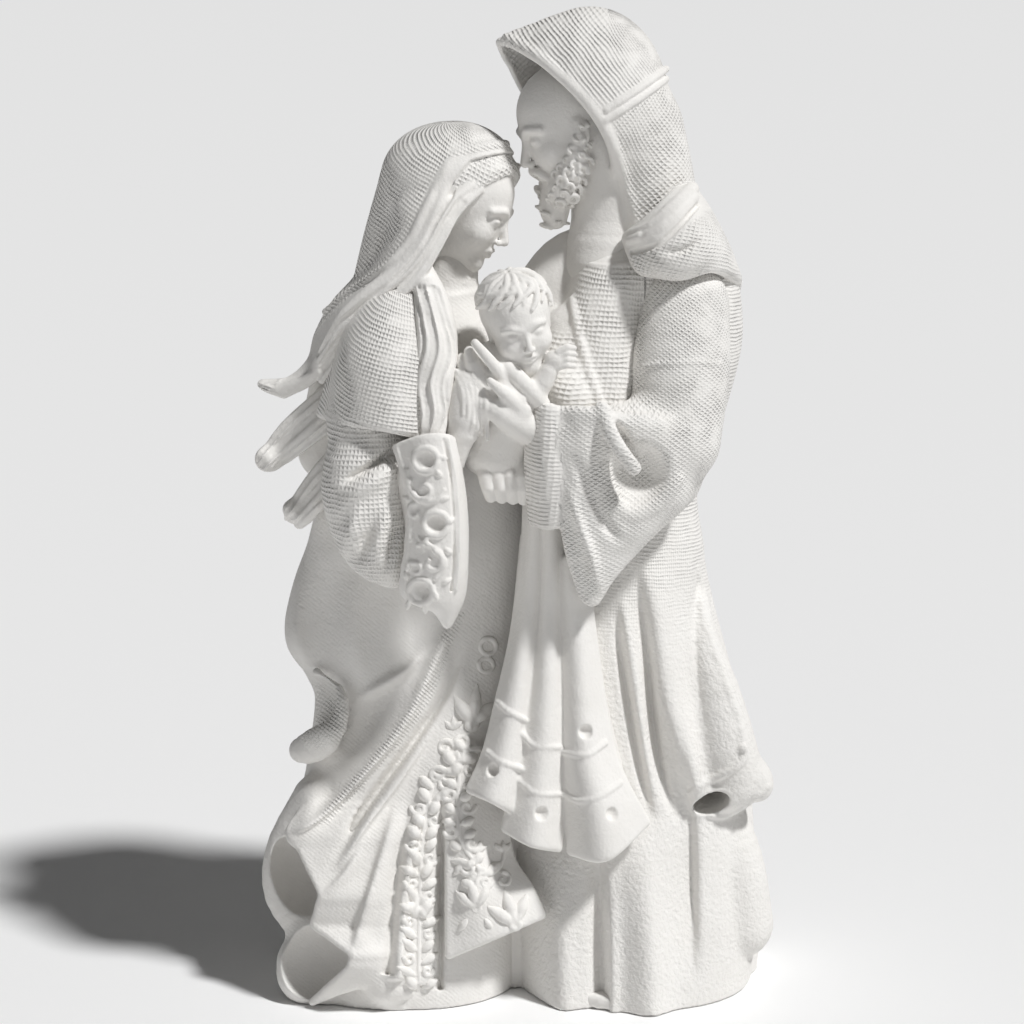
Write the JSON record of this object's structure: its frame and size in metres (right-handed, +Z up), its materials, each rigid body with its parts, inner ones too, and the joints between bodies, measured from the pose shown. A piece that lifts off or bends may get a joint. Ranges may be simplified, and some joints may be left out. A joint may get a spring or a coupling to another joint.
{
  "type": "holy family statue",
  "caption": "Small cast plaster group of a hooded man and a veiled woman standing close together with an infant held between them, on a low plinth, for display on a shelf.",
  "frame": {"origin": "middle of the statue's footprint box, on the underside of the plinth", "axes": "+Z up, -Y towards the viewer who faces the group, +X to that viewer's right"},
  "size_m": [0.159, 0.0868, 0.3],
  "materials": {
    "plaster": "matt, unpainted white plaster"
  },
  "bodies": {
    "root": {"holy_family_statue": "plaster"}
  },
  "joints": []
}
